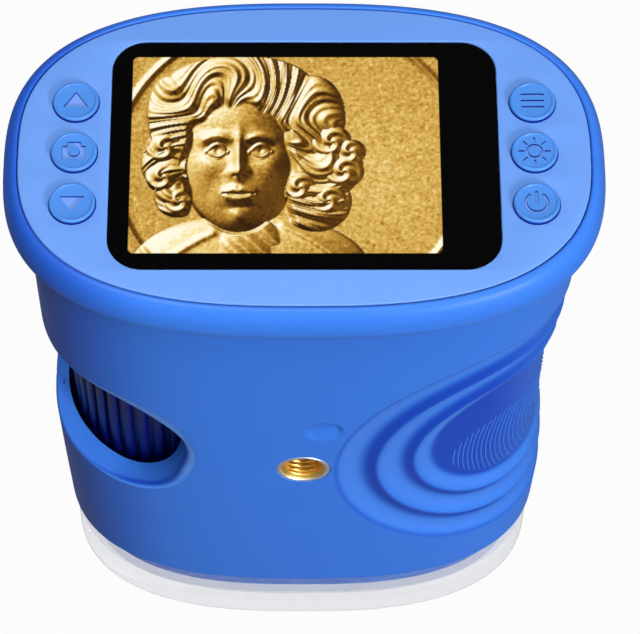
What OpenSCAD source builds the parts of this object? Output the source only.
// Hand-held digital microscope with a flat display on top.
// The body is two moulded halves that meet on the plane Y = 0. A ribbed focus wheel stands
// upright in a slot on the left and screws the lens barrel up and down over the specimen.
// Millimetres. Z = 0 is the surface it stands on, the front is -Y, the display faces +Z.

/* [Outline] */
// From the keys' middle line out to the side of the body, under the rim
side_w = 8.2; // [7.8:0.1:9]
// From the display module out to the front of the body, under the rim
side_d = 5.64; // [5.2:0.02:7]
// Squareness of the oval outline: 2 is an ellipse, more is squarer
squareness = 2.665; // [2.4:0.05:2.9]
// How far the rim stands out past the body
rim_out = 3.3; // [2.4:0.1:4]
// How much the foot of the body is narrower on each side
taper_x = 1.5; // [0.5:0.1:2]
// How much the foot of the body is shallower, front and back
taper_y = 0.95; // [0.3:0.05:1.4]
// Thickness of the moulded walls
wall = 2.2; // [1.8:0.1:2.4]

/* [Heights] */
// Height of the clear base
base_h = 16; // [14:0.5:17]
// Room between the sensor board and the main board
head_room = 10; // [8:0.5:14]
// Where the rim is widest, below the top
rim_drop = 4.8; // [4:0.1:5.5]
// Height of the rim from its widest line down to the neck
rim_roll = 7.7; // [6.5:0.1:8]

/* [Face plate] */
// How far the plate's edge lies outside the body outline
plate_out = 0.7; // [0.4:0.05:0.9]
// Thickness of the face plate
plate_t = 2.4; // [2:0.1:2.8]
// How far the window reaches past the display module, left and right
window_side = 0.505; // [0.3:0.005:1]
// How far the window stays short of the display module, front and back
window_short = 0.185; // [0:0.005:0.4]
// Corner radius of the display window
window_r = 5.6; // [3:0.2:7]
// Thickness of the display window
window_t = 1.2; // [1:0.1:1.4]
// How far the window lies below the plate's face
window_sink = 0.15; // [0.05:0.05:0.3]
// Width of the ledge that the window is stuck to
window_ledge = 1.5; // [1:0.1:2]

/* [Display] */
// Length of the liquid crystal module
lcd_w = 60.26; // [58:0.1:60.4]
// Width of the liquid crystal module
lcd_d = 42.72; // [41:0.1:42.8]
// Thickness of the liquid crystal module
lcd_t = 2.7; // [2.2:0.1:3]
// Wall and floor of the tray that holds it
tray_wall = 0.4; // [0.3:0.05:0.6]
// Length that the tray's walls stop short of its corners
tray_notch = 2; // [1.5:0.1:3]

/* [Keys] */
// Strip of plate between the window and a key
key_edge = 2.015; // [1.8:0.005:3]
// Gap between the collars of neighbouring keys
key_gap = 0.45; // [0.3:0.05:1]
// Radius of a key cap
key_r = 3.65; // [3.2:0.05:3.8]
// How far a key cap stands above the plate
key_proud = 0.7; // [0.65:0.05:1.2]
// Width of the collar that keeps a key behind the plate
key_collar = 0.85; // [0.6:0.05:0.9]
// Travel of a key
key_travel = 0.6; // [0.4:0.05:0.7]
// Side of a square tact switch
switch_w = 5; // [4.5:0.1:5.6]
// Height of a tact switch
switch_h = 2.4; // [2:0.1:2.6]
// Radius of a switch's plunger
plunger_r = 1.2; // [1:0.05:1.5]

/* [Circuit boards] */
// Thickness of every circuit board
board_t = 1.6; // [1.2:0.1:1.8]
// Distance from the main board up to the face plate
board_gap = 6.4; // [6.2:0.1:7]
// Gap between the main board's edge and the rim's inner wall
board_edge = 1.4; // [1:0.1:2]
// Side of the square sensor board
sensor_board_w = 28; // [27.8:0.1:29]
// Side of the image sensor
sensor_w = 8; // [6:0.5:10]
// Height of the image sensor
sensor_t = 1.2; // [1:0.1:1.6]
// Side of the processor
chip_w = 12; // [8:1:16]

/* [Sockets] */
// How far left of the middle the charging socket lies
usb_x = 12; // [8:0.5:14]
// How far right of the middle the card socket lies
card_x = 12; // [8:0.5:14]

/* [Thumb slot] */
// Height of the slot's middle line
slot_z = 64.3; // [64:0.1:64.6]
// Half the height of the slot, and the radius of its nose
slot_r = 16.3; // [15.5:0.1:16.6]
// From the side of the body in to the centre of the slot's nose
nose_side = 9.8; // [9:0.1:11]

/* [Focus wheel] */
// From the side of the body in to the optical axis
optic_side = 22.5; // [22.3:0.1:22.8]
// Radius of the wheel over its ribs
wheel_r = 18.6; // [18:0.1:18.7]
// Number of ribs round the wheel
wheel_ribs = 40; // [24:1:48]
// Height of a rib
rib_h = 0.9; // [0.5:0.1:1.2]
// Height of the wheel's drum
wheel_h = 44; // [43.6:0.1:44.4]
// Radius of the wheel's lower bearing
bearing_r = 15.8; // [15:0.1:16]
// Radius of the wheel's upper neck
neck_r = 11.5; // [11.2:0.1:11.8]
// Gap all round the wheel where it passes through the body
wheel_gap = 0.5; // [0.4:0.05:0.6]
// Running clearance of shafts and threads, on the radius
running = 0.08; // [0.05:0.01:0.1]

/* [Lens barrel] */
// Outer radius of the lens barrel
barrel_r = 8.5; // [8:0.1:8.6]
// Wall of the lens barrel
barrel_wall = 1.9; // [1.5:0.1:2.2]
// Length of the lens barrel
barrel_l = 40; // [39:0.5:41]
// Height of the barrel's lower end when it is in mid focus
barrel_z = 22; // [21.6:0.1:22.4]
// Width of the barrel's two keys
key_w = 2; // [1.5:0.1:2.5]
// How far the keys stand out of the barrel
key_out = 1.2; // [0.8:0.1:1.4]

/* [Grip] */
// From the side of the body in to the grip's centre
grip_side = 6; // [5:0.1:7]
// Height of the grip's centre
grip_z = 62.8; // [62:0.1:63.5]
// Radius of the grip's outermost ripple
grip_r = 32.7; // [31:0.1:33]
// Distance from one ripple to the next
ripple_pitch = 6.4; // [5.5:0.1:6.6]
// How much deeper each ripple is than the one outside it
ripple_depth = 0.8; // [0.5:0.05:0.8]
// Number of ripples
ripples = 3; // [2:1:3]

/* [Tripod thread] */
// Height of the tripod thread
tripod_z = 62; // [61:0.5:63]
// Radius of the tripod thread
tripod_r = 3.175; // [3:0.025:3.3]
// Outer radius of the brass insert
insert_r = 4.55; // [4.3:0.05:4.8]
// Length of the brass insert
insert_l = 9; // [8:0.5:9.5]

/* [Base] */
// How far the clear base lies inside the body's foot on each side
base_inset = 0.6; // [0.4:0.05:0.8]
// Wall of the clear base
base_wall = 2.6; // [2.2:0.1:2.8]
// Floor of the clear base
base_floor = 2; // [1.6:0.1:2.4]
// Radius of the opening in the base, over the specimen
aperture_r = 15.5; // [15.2:0.1:16]
// Depth of the collar that holds the base
collar_h = 4.5; // [3:0.5:5]
// Number of lamps round the lens
lamps = 8; // [4:1:10]

/* [Battery] */
// Gap between the battery and the grip's wall
battery_gap = 0.7; // [0.5:0.1:3]
// Thickness of the battery
battery_t = 10; // [8:0.5:12]
// Height of the battery
battery_h = 40; // [38:0.5:42]

/* [Hidden] */

$fn = 64;

// Colours as seen on the real thing
shell_blue = [0.16, 0.40, 0.82];
plate_blue = [0.42, 0.60, 0.92];
wheel_navy = [0.05, 0.05, 0.22];
board_green = [0.05, 0.30, 0.16];
steel = [0.62, 0.62, 0.64];
black = [0.03, 0.03, 0.04];

// Small gaps and overlaps
fit = 0.15;         // assembly gap round a piece that drops into its seat
slip = 0.1;         // gap round a piece that slides
wide = 200;         // longer than the whole microscope
quarter_steps = 24; // straight sides in a quarter of a flat outline
shell_steps = 12;   // and in a quarter of the moulded shell

// Display, keys and the outline round them
window_w = lcd_w + 2 * window_side;
window_d = lcd_d - 2 * window_short;
key_x = window_w / 2 + key_edge + key_r;
key_pitch = 2 * (key_r + key_collar) + key_gap;
half_w = key_x + side_w;
half_d = lcd_d / 2 + side_d;
optic_x = half_w - optic_side;
slot_nose = half_w - nose_side;
grip_x = half_w - grip_side;

// Levels of the wheel, the optics and the boards, from below
wheel_play = 0.3;
deck_t = 2.4;
wheel_z = slot_z - wheel_h / 2;
lower_deck_z = wheel_z - wheel_play - deck_t;
upper_deck_z = wheel_z + wheel_h + wheel_play;
shroud_h = 9;
sensor_board_z = upper_deck_z + deck_t + shroud_h;
board_z = sensor_board_z + board_t + head_room;
plate_z = board_z + board_t + board_gap;
total_h = plate_z + plate_t;

// Outline of the body
rim_z = total_h - rim_drop;
neck_z = rim_z - rim_roll;
foot_w = half_w - taper_x;
foot_d = half_d - taper_y;
rim_land = plate_out + fit + 0.3; // the rim's inner edge, where its roll begins

// Hollows of the body
hollow_w = foot_w - wall;
hollow_d = foot_d - wall;
grip_sink = ripples * ripple_depth;
grip_w = half_w - taper_x / 2;
grip_d = half_d - taper_y / 2;
deck_w = hollow_w - grip_sink - fit;
deck_d = hollow_d - grip_sink - fit;
ledge_in = 2.6;
plate_seat = 1.8;
head_w = half_w + plate_out - plate_seat;
head_d = half_d + plate_out - plate_seat;

// Other levels
cover_top = base_h + deck_t;
head_floor = board_z - 0.6;
lcd_z = plate_z - lcd_t;
window_z = total_h - window_sink - window_t;

// Base
base_w = foot_w - base_inset;
base_d = foot_d - base_inset;
inner_w = base_w - base_wall;
inner_d = base_d - base_wall;
collar_wall = 1.8;

// Keys and what lies under them
key_rows = [key_pitch, 0, -key_pitch];
key_bore = key_r + slip;
collar_t = 1.2;
collar_top = plate_z - slip;
switch_top = board_z + board_t + switch_h;
plunger_top = switch_top + 1.4;
plunger_low = switch_top - 0.4;
plunger_well = key_travel + 0.3;

// Screws
screw_r = 1.1;
screw_gap = 0.05;
head_r = 2.2;
head_t = 1.5;
boss_r = 3;
post_r = 2.2;
post_xy = [key_x - 1.8, key_pitch + 6.75];
chamber_r = wheel_r + wheel_gap;
seam_x = half_w - 8;
mid_screw_x = chamber_r + boss_r + 1.1 - optic_x;
seam_screws = [[-seam_x, base_h + 8], [seam_x, base_h + 8], [-seam_x, neck_z - 4], [seam_x, neck_z - 4],
    [mid_screw_x, 50]];
seam_seat = 6;
seam_screw_l = 12;
deck_screw_y = deck_d - 3.3;
deck_screw_xy = [[18, deck_screw_y], [18, -deck_screw_y],
    [14 - optic_x, deck_screw_y], [14 - optic_x, -deck_screw_y]];
deck_boss_r = 2.6;
deck_boss_h = 7.5;
deck_screw_l = 7;
board_screw_l = board_t + 4;
cover_screw_y = inner_d - 6.35;
cover_screw_xy = [[20, cover_screw_y], [20, -cover_screw_y],
    [12 - optic_x, cover_screw_y], [12 - optic_x, -cover_screw_y]];
cover_boss_h = 9;
cover_rib_t = 2;
cover_screw_l = 9;

// Optics
hub_r = barrel_r + running;
barrel_bore = barrel_r - barrel_wall;
lens_r = barrel_bore - running;
lens_t = 3;
retainer_t = 1.5;
led_ring_in = barrel_r + 0.8;
led_ring_out = 15;
led_window_r = 13;
led_path_r = (led_ring_in + led_window_r) / 2;
led_size = [2, 1.6, 0.7];
led_board_t = 1.2;
shroud_r = 13.8;
shroud_wall = 1.6;

// Tripod thread
front_y = half_d - taper_y * pow((neck_z - tripod_z) / (neck_z - base_h), 2);
insert_face = front_y - 0.05;
thread_l = insert_l - 1.5;
mouth_r = tripod_r + 0.45;
mouth_t = 0.5;
insert_boss_r = insert_r + 2;

// Sockets, by their real shells
usb_size = [8.94, 7.3, 3.26];
usb_mouth_r = 1.4;
card_size = [14, 15, 1.8];
card_slot = [12.2, 1.5];
socket_mouth = half_d - 0.45;
socket_room = 0.25;

// One point of an oval whose corners are squarer than an ellipse's
function oval_point(a, b, t) = [
    a * sign(cos(t)) * pow(abs(cos(t)), 2 / squareness),
    b * sign(sin(t)) * pow(abs(sin(t)), 2 / squareness)];

// How far the rim stands out of the body at height z
function rim_at(z) =
    z >= rim_z ? rim_land + (rim_out - rim_land) * sqrt(max(0, 1 - pow((z - rim_z) / rim_drop, 2)))
    : z > neck_z ? rim_out * (1 - cos(180 * (z - neck_z) / rim_roll)) / 2
    : 0;

// How far the body has drawn in at height z: 0 at the neck, 1 at the foot
function draw_in(z) = z >= neck_z ? 0 : pow((neck_z - z) / (neck_z - base_h), 2);

// Front half of the body's outline at height z, from left to right
function half_ring(z, inset) = [for (i = [0 : 2 * shell_steps])
    let (t = 180 + 90 * i / shell_steps,
         p = oval_point(half_w + rim_at(z) - taper_x * draw_in(z) - inset,
                        half_d + rim_at(z) - taper_y * draw_in(z) - inset, t))
    [p[0], i == 0 || i == 2 * shell_steps ? 0 : p[1], z]];

// Solid front half of the body between the given heights, drawn in by inset
module half_body(levels, inset = 0) {
    rings = [for (z = levels) half_ring(z, inset)];
    n = 2 * shell_steps + 1;
    last = len(levels) - 1;
    polyhedron(
        points = [for (ring = rings) each ring],
        faces = concat(
            [[for (i = [0 : n - 1]) n - 1 - i]],
            [[for (i = [0 : n - 1]) last * n + i]],
            [for (r = [0 : last - 1]) for (i = [0 : n - 1])
                [r * n + i, r * n + (i + 1) % n, (r + 1) * n + (i + 1) % n, (r + 1) * n + i]]),
        convexity = 4);
}

module oval(a, b) {
    polygon([for (i = [0 : 4 * quarter_steps - 1]) oval_point(a, b, 90 * i / quarter_steps)]);
}

// A flat slab with an oval outline
module slab(a, b, z, h) {
    translate([0, 0, z]) linear_extrude(height = h) oval(a, b);
}

// Rectangle with round corners, centred
module round_rect(w, d, r) {
    polygon([for (corner = [0 : 3]) for (i = [0 : 8])
        let (t = 90 * corner + 90 * i / 8,
             cx = (corner == 0 || corner == 3 ? 1 : -1) * (w / 2 - r),
             cy = (corner < 2 ? 1 : -1) * (d / 2 - r))
        [cx + r * cos(t), cy + r * sin(t)]]);
}

// A rod along Y, from y0 to y1
module y_rod(x, z, r, y0, y1) {
    translate([x, y0, z]) rotate([-90, 0, 0]) cylinder(r = r, h = y1 - y0);
}

// The thumb slot, drawn from the front and run through the whole depth
module slot(extra = 0) {
    translate([-slot_nose, wide / 2, slot_z]) rotate([90, 0, 0]) linear_extrude(height = wide) {
        circle(r = slot_r + extra);
        translate([-wide, -slot_r - extra]) square([wide, 2 * (slot_r + extra)]);
    }
}

module on_optic_axis() {
    translate([-optic_x, 0, 0]) children();
}

// The hollow of both halves
module hollow() {
    difference() {
        slab(hollow_w, hollow_d, base_h - 1, head_floor + 2 - base_h);
        // thicker behind the ripples
        difference() {
            y_rod(grip_x, grip_z, grip_r + wall, -wide / 2, wide / 2);
            slab(hollow_w - grip_sink, hollow_d - grip_sink, 0, wide);
        }
        // walls of the thumb slot
        slot(wall);
        // ledges under the two decks
        deck_ledge(lower_deck_z);
        deck_ledge(upper_deck_z);
        bosses();
    }
}

module deck_ledge(z) {
    difference() {
        slab(half_w, half_d, z - wall, wall);
        slab(deck_w - ledge_in, deck_d - ledge_in, z - wall - 1, wall + 2);
    }
}

// One half of the body without its fittings; the rear half is its mirror image
module half_shell() {
    body_levels = [base_h, base_h + (neck_z - base_h) / 3, base_h + (neck_z - base_h) * 2 / 3];
    roll_levels = [for (i = [0 : 5]) neck_z + rim_roll * i / 5];
    top_levels = [for (i = [1 : 5]) rim_z + rim_drop * sin(18 * i)];
    difference() {
        half_body(concat(body_levels, roll_levels, top_levels));
        for (i = [0 : ripples - 1]) {
            difference() {
                y_rod(grip_x, grip_z, grip_r - i * ripple_pitch, -wide / 2, 1);
                slab(grip_w - (i + 1) * ripple_depth, grip_d - (i + 1) * ripple_depth, base_h, neck_z);
            }
        }
        hollow();
        slot();
        slab(head_w, head_d, head_floor, wide);
        slab(half_w + plate_out + fit, half_d + plate_out + fit, plate_z, wide);
    }
}

// Bosses that stand in the hollow: for the screws of the seam, decks and cover, and for the insert
module bosses() {
    for (p = seam_screws) y_rod(p[0], p[1], boss_r, -half_d, half_d);
    for (p = deck_screw_xy) for (z = [lower_deck_z, upper_deck_z])
        translate([p[0], p[1], z - deck_boss_h]) cylinder(r = deck_boss_r, h = deck_boss_h);
    for (p = cover_screw_xy) {
        translate([p[0], p[1], cover_top]) cylinder(r = deck_boss_r, h = cover_boss_h);
        // rib from the boss out to the wall
        translate([p[0] - cover_rib_t / 2, p[1] > 0 ? p[1] : p[1] - half_d, cover_top])
            cube([cover_rib_t, half_d, cover_boss_h]);
    }
    y_rod(0, tripod_z, insert_boss_r, -half_d, 1 + insert_l - front_y);
}

// Holes of the deck and cover screws
module upright_screw_holes() {
    for (p = deck_screw_xy) for (z = [lower_deck_z, upper_deck_z])
        translate([p[0], p[1], z - deck_screw_l]) cylinder(r = screw_r + screw_gap, h = deck_screw_l + 1);
    for (p = cover_screw_xy)
        translate([p[0], p[1], cover_top - 1]) cylinder(r = screw_r + screw_gap, h = cover_screw_l + 1);
}

module wheel_chamber() {
    on_optic_axis() translate([0, 0, lower_deck_z + deck_t])
        cylinder(r = chamber_r, h = upper_deck_z - lower_deck_z - deck_t);
}

module front_housing() {
    color(shell_blue) difference() {
        half_shell();
        upright_screw_holes();
        for (p = seam_screws) y_rod(p[0], p[1], screw_r + screw_gap, -seam_screw_l + seam_seat - 1, 1);
        wheel_chamber();
        y_rod(0, tripod_z, insert_r + screw_gap, -wide / 2, insert_l - insert_face + screw_gap);
        dimple();
        lanyard_slots();
    }
}

module rear_housing() {
    color(shell_blue) difference() {
        mirror([0, 1, 0]) half_shell();
        upright_screw_holes();
        for (p = seam_screws) {
            y_rod(p[0], p[1], screw_r + screw_gap, -1, wide / 2);
            y_rod(p[0], p[1], head_r + fit, seam_seat, wide / 2);
        }
        wheel_chamber();
        socket_openings();
    }
}

// Shallow round mark above the tripod thread
module dimple() {
    dimple_r = 3;
    dimple_depth = 0.6;
    dimple_x = 3.4;
    dimple_up = 14;
    y_rod(dimple_x, tripod_z + dimple_up, dimple_r, -wide / 2, dimple_depth - half_d + 0.1);
}

// Two small slots in the rim with a bar between them, for a wrist cord
module lanyard_slots() {
    hole = [2.4, 1.1, 2.8];
    places = [-1.8, -3.9];
    outer = half_w + rim_out;
    for (y = places) translate([-outer - 1, y - hole[1] / 2, rim_z - hole[2] / 2])
        cube([hole[0] + 1, hole[1], hole[2]]);
    translate([-outer + hole[0] - 1, places[1] - hole[1] / 2, rim_z - hole[2] / 2])
        cube([1, places[0] - places[1] + hole[1], hole[2]]);
}

module socket_openings() {
    translate([-usb_x, half_d + wall, board_z - usb_size[2] / 2]) rotate([90, 0, 0])
        linear_extrude(height = 2 * wall + usb_size[1])
            round_rect(usb_size[0] + 2 * socket_room, usb_size[2] + 2 * socket_room, usb_mouth_r);
    translate([card_x - card_slot[0] / 2, hollow_d - 1, board_z - card_size[2] / 2 - card_slot[1] / 2])
        cube([card_slot[0], wall + 4, card_slot[1]]);
    translate([card_x, 0, board_z - card_size[2] - socket_room]) linear_extrude(height = card_size[2] + 2)
        translate([-card_size[0] / 2 - socket_room, 0])
            square([card_size[0] + 2 * socket_room, socket_mouth - 1 + socket_room]);
}

module housing_screws() {
    color(steel) for (p = seam_screws) {
        y_rod(p[0], p[1], screw_r, seam_seat - seam_screw_l, seam_seat);
        y_rod(p[0], p[1], head_r, seam_seat, seam_seat + head_t);
    }
}

module tripod_insert() {
    color("goldenrod") translate([0, -insert_face, tripod_z]) rotate([-90, 0, 0]) difference() {
        cylinder(r = insert_r, h = insert_l);
        translate([0, 0, -1]) cylinder(r = tripod_r, h = thread_l + 1);
        translate([0, 0, -0.01]) cylinder(r1 = mouth_r, r2 = tripod_r, h = mouth_t);
    }
}

module face_plate() {
    color(plate_blue) difference() {
        union() {
            slab(half_w + plate_out, half_d + plate_out, plate_z, plate_t);
            // posts that the main board hangs on
            for (x = [-1, 1]) for (y = [-1, 1])
                translate([x * post_xy[0], y * post_xy[1], board_z + board_t])
                    cylinder(r = post_r, h = board_gap + 0.5);
        }
        translate([0, 0, window_z]) linear_extrude(height = wide)
            round_rect(window_w + 2 * slip, window_d + 2 * slip, window_r);
        translate([0, 0, plate_z - 1]) linear_extrude(height = wide)
            round_rect(window_w - 2 * window_ledge, window_d - 2 * window_ledge, window_r - window_ledge);
        for (x = [-key_x, key_x]) for (y = key_rows)
            translate([x, y, plate_z - 1]) cylinder(r = key_bore, h = plate_t + 2);
        for (x = [-1, 1]) for (y = [-1, 1])
            translate([x * post_xy[0], y * post_xy[1], board_z])
                cylinder(r = screw_r + screw_gap, h = board_gap);
    }
}

module screen_window() {
    color(black) translate([0, 0, window_z]) linear_extrude(height = window_t)
        round_rect(window_w, window_d, window_r - slip);
}

module lcd_panel() {
    color("dimgray") translate([-lcd_w / 2, -lcd_d / 2, lcd_z]) cube([lcd_w, lcd_d, lcd_t]);
}

module lcd_tray() {
    tray_w = lcd_w + 2 * (tray_wall + slip);
    tray_d = lcd_d + 2 * (tray_wall + slip);
    color(steel) difference() {
        // a folded pan, with open corners
        for (n = [[tray_notch, 0], [0, tray_notch]])
            translate([n[0] - tray_w / 2, n[1] - tray_d / 2, lcd_z - tray_wall])
                cube([tray_w - 2 * n[0], tray_d - 2 * n[1], lcd_t + tray_wall]);
        translate([-lcd_w / 2 - slip, -lcd_d / 2 - slip, lcd_z])
            cube([lcd_w + 2 * slip, lcd_d + 2 * slip, wide]);
    }
}

// A round key cap with its collar and stem, turned as one profile
module button(x, row) {
    bevel = 0.45;
    dish = 0.12;
    cap_top = total_h + key_proud;
    color(plate_blue) translate([x, key_rows[row], 0]) rotate_extrude() polygon([
        [0, plunger_top], [plunger_r + 0.8, plunger_top], [plunger_r + 0.8, collar_top - collar_t],
        [key_r + key_collar, collar_top - collar_t], [key_r + key_collar, collar_top],
        [key_r, collar_top], [key_r, cap_top - bevel], [key_r - bevel, cap_top],
        [key_r - 2 * bevel, cap_top - dish], [0, cap_top - dish]]);
}

module plunger(x, row) {
    color("ivory") translate([x, key_rows[row], plunger_low])
        cylinder(r = plunger_r, h = plunger_top - plunger_low);
}

module tact_switches() {
    color(steel) for (x = [-key_x, key_x]) for (y = key_rows) difference() {
        translate([x - switch_w / 2, y - switch_w / 2, board_z + board_t])
            cube([switch_w, switch_w, switch_h]);
        translate([x, y, plunger_low - plunger_well]) cylinder(r = plunger_r + slip, h = wide);
    }
}

module main_board() {
    color(board_green) difference() {
        slab(head_w - board_edge, head_d - board_edge, board_z, board_t);
        for (x = [-1, 1]) for (y = [-1, 1])
            translate([x * post_xy[0], y * post_xy[1], board_z - 1])
                cylinder(r = screw_r + screw_gap, h = board_t + 2);
    }
}

module board_screws() {
    color(steel) for (x = [-1, 1]) for (y = [-1, 1]) translate([x * post_xy[0], y * post_xy[1], board_z]) {
        cylinder(r = screw_r, h = board_screw_l);
        translate([0, 0, -head_t / 3]) cylinder(r = head_r, h = head_t / 3);
    }
}

module processor() {
    color(black) translate([-chip_w / 2, -chip_w / 2, board_z - 1.2]) cube([chip_w, chip_w, 1.2]);
}

module usb_socket() {
    shell = 0.3;
    depth = 6.2;
    tongue = [6.7, 4.4, 0.7];
    color(steel) translate([-usb_x, socket_mouth, board_z - usb_size[2] / 2]) {
        rotate([90, 0, 0]) difference() {
            linear_extrude(height = usb_size[1]) round_rect(usb_size[0], usb_size[2], usb_mouth_r);
            translate([0, 0, -1]) linear_extrude(height = depth + 1)
                round_rect(usb_size[0] - 2 * shell, usb_size[2] - 2 * shell, usb_mouth_r - shell);
        }
        translate([-tongue[0] / 2, -depth, -tongue[2] / 2]) cube(tongue);
    }
}

module card_socket() {
    slot_h = 0.9;
    slot_w = 11.2;
    color(steel) translate([card_x, socket_mouth - 1 - card_size[1], board_z - card_size[2]]) difference() {
        translate([-card_size[0] / 2, 0, 0]) cube(card_size);
        translate([-slot_w / 2, 1, (card_size[2] - slot_h) / 2]) cube([slot_w, card_size[1], slot_h]);
    }
}

module battery() {
    left = mid_screw_x + boss_r + fit + 0.2;
    battery_w = deck_w - battery_gap - left;
    color("slategray") translate([left, -battery_t / 2, lower_deck_z + deck_t])
        cube([battery_w, battery_t, battery_h]);
}

// Ribbed drum with a web at the top and a threaded hub down its middle
module focus_wheel() {
    root_r = wheel_r - rib_h;
    web_t = 2.4;
    hub_l = 32;
    step = 360 / wheel_ribs;
    // corners of one rib: share of a step, and radius
    rib = [[-0.24, root_r], [-0.14, wheel_r], [0.14, wheel_r], [0.24, root_r]];
    color(wheel_navy) on_optic_axis() union() {
        difference() {
            translate([0, 0, wheel_z]) linear_extrude(height = wheel_h)
                polygon([for (i = [0 : wheel_ribs - 1]) for (p = rib)
                    let (t = step * (i + p[0])) [p[1] * cos(t), p[1] * sin(t)]]);
            translate([0, 0, wheel_z - 1]) cylinder(r = bearing_r + running, h = wheel_h - web_t + 1);
            translate([0, 0, wheel_z]) cylinder(r = hub_r, h = wheel_h + 1);
        }
        difference() {
            translate([0, 0, wheel_z + wheel_h - hub_l])
                cylinder(r = neck_r, h = hub_l + wheel_play + deck_t - 0.4);
            translate([0, 0, wheel_z]) cylinder(r = hub_r, h = wheel_h + 4);
        }
    }
}

// Plate over the wheel, with the bearing of its neck
module upper_deck() {
    cable_gap = [8, 4];
    color("gainsboro") difference() {
        slab(deck_w, deck_d, upper_deck_z, deck_t);
        on_optic_axis() translate([0, 0, upper_deck_z - 1]) cylinder(r = neck_r + running, h = deck_t + 2);
        deck_screw_holes(upper_deck_z);
        // room for the flat cable from the sensor and for the battery leads
        translate([6, 6 - deck_d, upper_deck_z - 1]) cube([cable_gap[0], cable_gap[1], deck_t + 2]);
    }
}

// Plate under the wheel, with its spigot bearing and the keyed guide of the barrel
module lower_deck() {
    spigot_h = 5;
    spigot_wall = 2.2;
    color("gainsboro") difference() {
        union() {
            slab(deck_w, deck_d, lower_deck_z, deck_t);
            on_optic_axis() translate([0, 0, lower_deck_z]) difference() {
                cylinder(r = bearing_r, h = deck_t + wheel_play + spigot_h);
                translate([0, 0, deck_t]) cylinder(r = bearing_r - spigot_wall, h = wide);
            }
        }
        on_optic_axis() translate([0, 0, lower_deck_z - 1]) {
            cylinder(r = barrel_r + running, h = deck_t + 2);
            translate([-barrel_r - key_out - slip, -key_w / 2 - slip, 0])
                cube([2 * (barrel_r + key_out + slip), key_w + 2 * slip, deck_t + 2]);
        }
        deck_screw_holes(lower_deck_z);
    }
}

module deck_screw_holes(z) {
    for (p = deck_screw_xy) translate([p[0], p[1], z - 1])
        cylinder(r = screw_r + screw_gap, h = deck_t + 2);
}

module deck_screws() {
    color(steel) for (p = deck_screw_xy) for (z = [lower_deck_z, upper_deck_z])
        translate([p[0], p[1], z + deck_t]) {
            translate([0, 0, -deck_screw_l]) cylinder(r = screw_r, h = deck_screw_l);
            cylinder(r = head_r, h = head_t);
        }
}

module lens_barrel() {
    key_l = 24;
    color(black) on_optic_axis() translate([0, 0, barrel_z]) difference() {
        union() {
            cylinder(r = barrel_r, h = barrel_l);
            for (side = [0, 180]) rotate([0, 0, side])
                translate([barrel_r - 0.5, -key_w / 2, 1]) cube([key_out + 0.5, key_w, key_l]);
        }
        translate([0, 0, -1]) cylinder(r = barrel_bore, h = barrel_l + 2);
    }
}

// A lens with two bulging faces, turned about its axis
module lens(z, r, t, bulge) {
    steps = 8;
    face = [for (i = [0 : steps]) let (x = r * i / steps) [x, bulge * (1 - pow(x / r, 2))]];
    under = [for (p = face) [p[0], -p[1]]];
    over = [for (i = [steps : -1 : 0]) [face[i][0], t + face[i][1]]];
    color("lightcyan", 0.5) on_optic_axis() translate([0, 0, z]) rotate_extrude()
        polygon(concat(under, over));
}

module objective_lens() {
    lens(barrel_z + retainer_t + 0.8, lens_r, lens_t - 0.8, 0.7);
}

module lens_retainer() {
    color("silver") on_optic_axis() translate([0, 0, barrel_z]) difference() {
        cylinder(r = lens_r, h = retainer_t);
        translate([0, 0, -1]) cylinder(r = lens_r - 1.3, h = retainer_t + 2);
    }
}

module tube_lens() {
    lens(barrel_z + barrel_l - lens_t - 2, lens_r, lens_t - 0.8, 0.6);
}

module sensor_shroud() {
    color(black) on_optic_axis() translate([0, 0, upper_deck_z + deck_t]) difference() {
        cylinder(r = shroud_r, h = shroud_h);
        translate([0, 0, -1]) cylinder(r = shroud_r - shroud_wall, h = shroud_h + 2);
    }
}

module sensor_board() {
    color(board_green) on_optic_axis() translate([-sensor_board_w / 2, -sensor_board_w / 2, sensor_board_z])
        cube([sensor_board_w, sensor_board_w, board_t]);
}

module image_sensor() {
    color("darkslategray") on_optic_axis()
        translate([-sensor_w / 2, -sensor_w / 2, sensor_board_z - sensor_t])
            cube([sensor_w, sensor_w, sensor_t]);
}

module led_board() {
    color(board_green) on_optic_axis() translate([0, 0, cover_top]) difference() {
        cylinder(r = led_ring_out, h = led_board_t);
        translate([0, 0, -1]) cylinder(r = led_ring_in, h = led_board_t + 2);
    }
}

module leds() {
    color("lemonchiffon") on_optic_axis() for (i = [0 : lamps - 1]) rotate([0, 0, 360 * i / lamps])
        translate([led_path_r - led_size[1] / 2, -led_size[0] / 2, cover_top - led_size[2]])
            cube([led_size[1], led_size[0], led_size[2]]);
}

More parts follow.
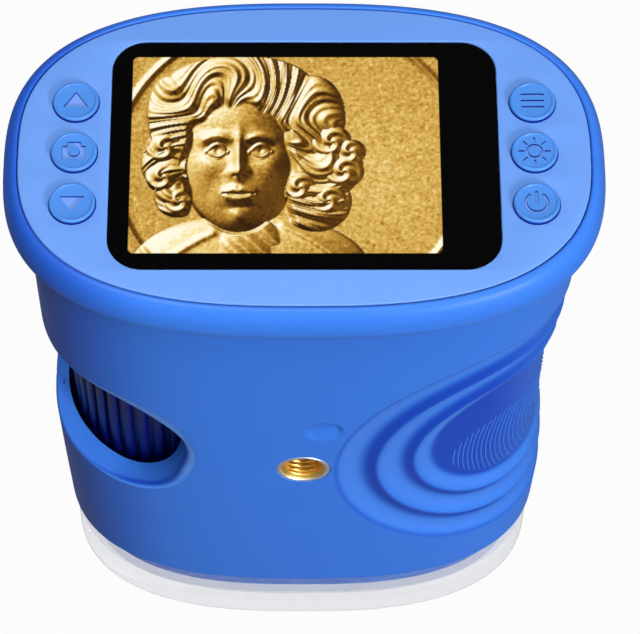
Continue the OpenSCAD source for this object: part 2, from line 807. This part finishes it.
// Closes the foot of the body; its collar holds the clear base
module bottom_cover() {
    color(shell_blue) difference() {
        union() {
            slab(hollow_w - fit, hollow_d - fit, base_h, deck_t);
            slab(inner_w - slip, inner_d - slip, base_h - collar_h, collar_h + 1);
        }
        slab(inner_w - slip - collar_wall, inner_d - slip - collar_wall,
            base_h - collar_h - 1, collar_h + 1);
        on_optic_axis() translate([0, 0, base_h - 1]) cylinder(r = led_window_r, h = deck_t + 2);
        for (p = cover_screw_xy) translate([p[0], p[1], base_h - 1])
            cylinder(r = screw_r + screw_gap, h = deck_t + 2);
    }
}

module cover_screws() {
    color(steel) for (p = cover_screw_xy) translate([p[0], p[1], base_h]) {
        cylinder(r = screw_r, h = cover_screw_l);
        translate([0, 0, -head_t / 2]) cylinder(r = head_r, h = head_t / 2);
    }
}

// Clear skirt that stands on the specimen, with a round opening under the lens
module clear_base() {
    edge = 0.5;
    color([0.85, 0.87, 0.9], 0.4) difference() {
        union() {
            slab(base_w - edge, base_d - edge, 0, edge + 0.1);
            slab(base_w, base_d, edge, base_h - edge);
        }
        slab(inner_w, inner_d, base_floor, wide);
        on_optic_axis() translate([0, 0, -1]) cylinder(r = aperture_r, h = base_floor + 2);
    }
}

face_plate();
screen_window();
lcd_panel();
lcd_tray();
button(-key_x, 0);  // button_up
button(-key_x, 1);  // button_camera
button(-key_x, 2);  // button_down
button(key_x, 0);  // button_menu
button(key_x, 1);  // button_light
button(key_x, 2);  // button_power
plunger(-key_x, 0);  // plunger_up
plunger(-key_x, 1);  // plunger_camera
plunger(-key_x, 2);  // plunger_down
plunger(key_x, 0);  // plunger_menu
plunger(key_x, 1);  // plunger_light
plunger(key_x, 2);  // plunger_power
tact_switches();
main_board();
processor();
usb_socket();
card_socket();
board_screws();
front_housing();
rear_housing();
housing_screws();
tripod_insert();
battery();
focus_wheel();
upper_deck();
lower_deck();
deck_screws();
lens_barrel();
objective_lens();
lens_retainer();
tube_lens();
sensor_shroud();
sensor_board();
image_sensor();
led_board();
leds();
bottom_cover();
cover_screws();
clear_base();
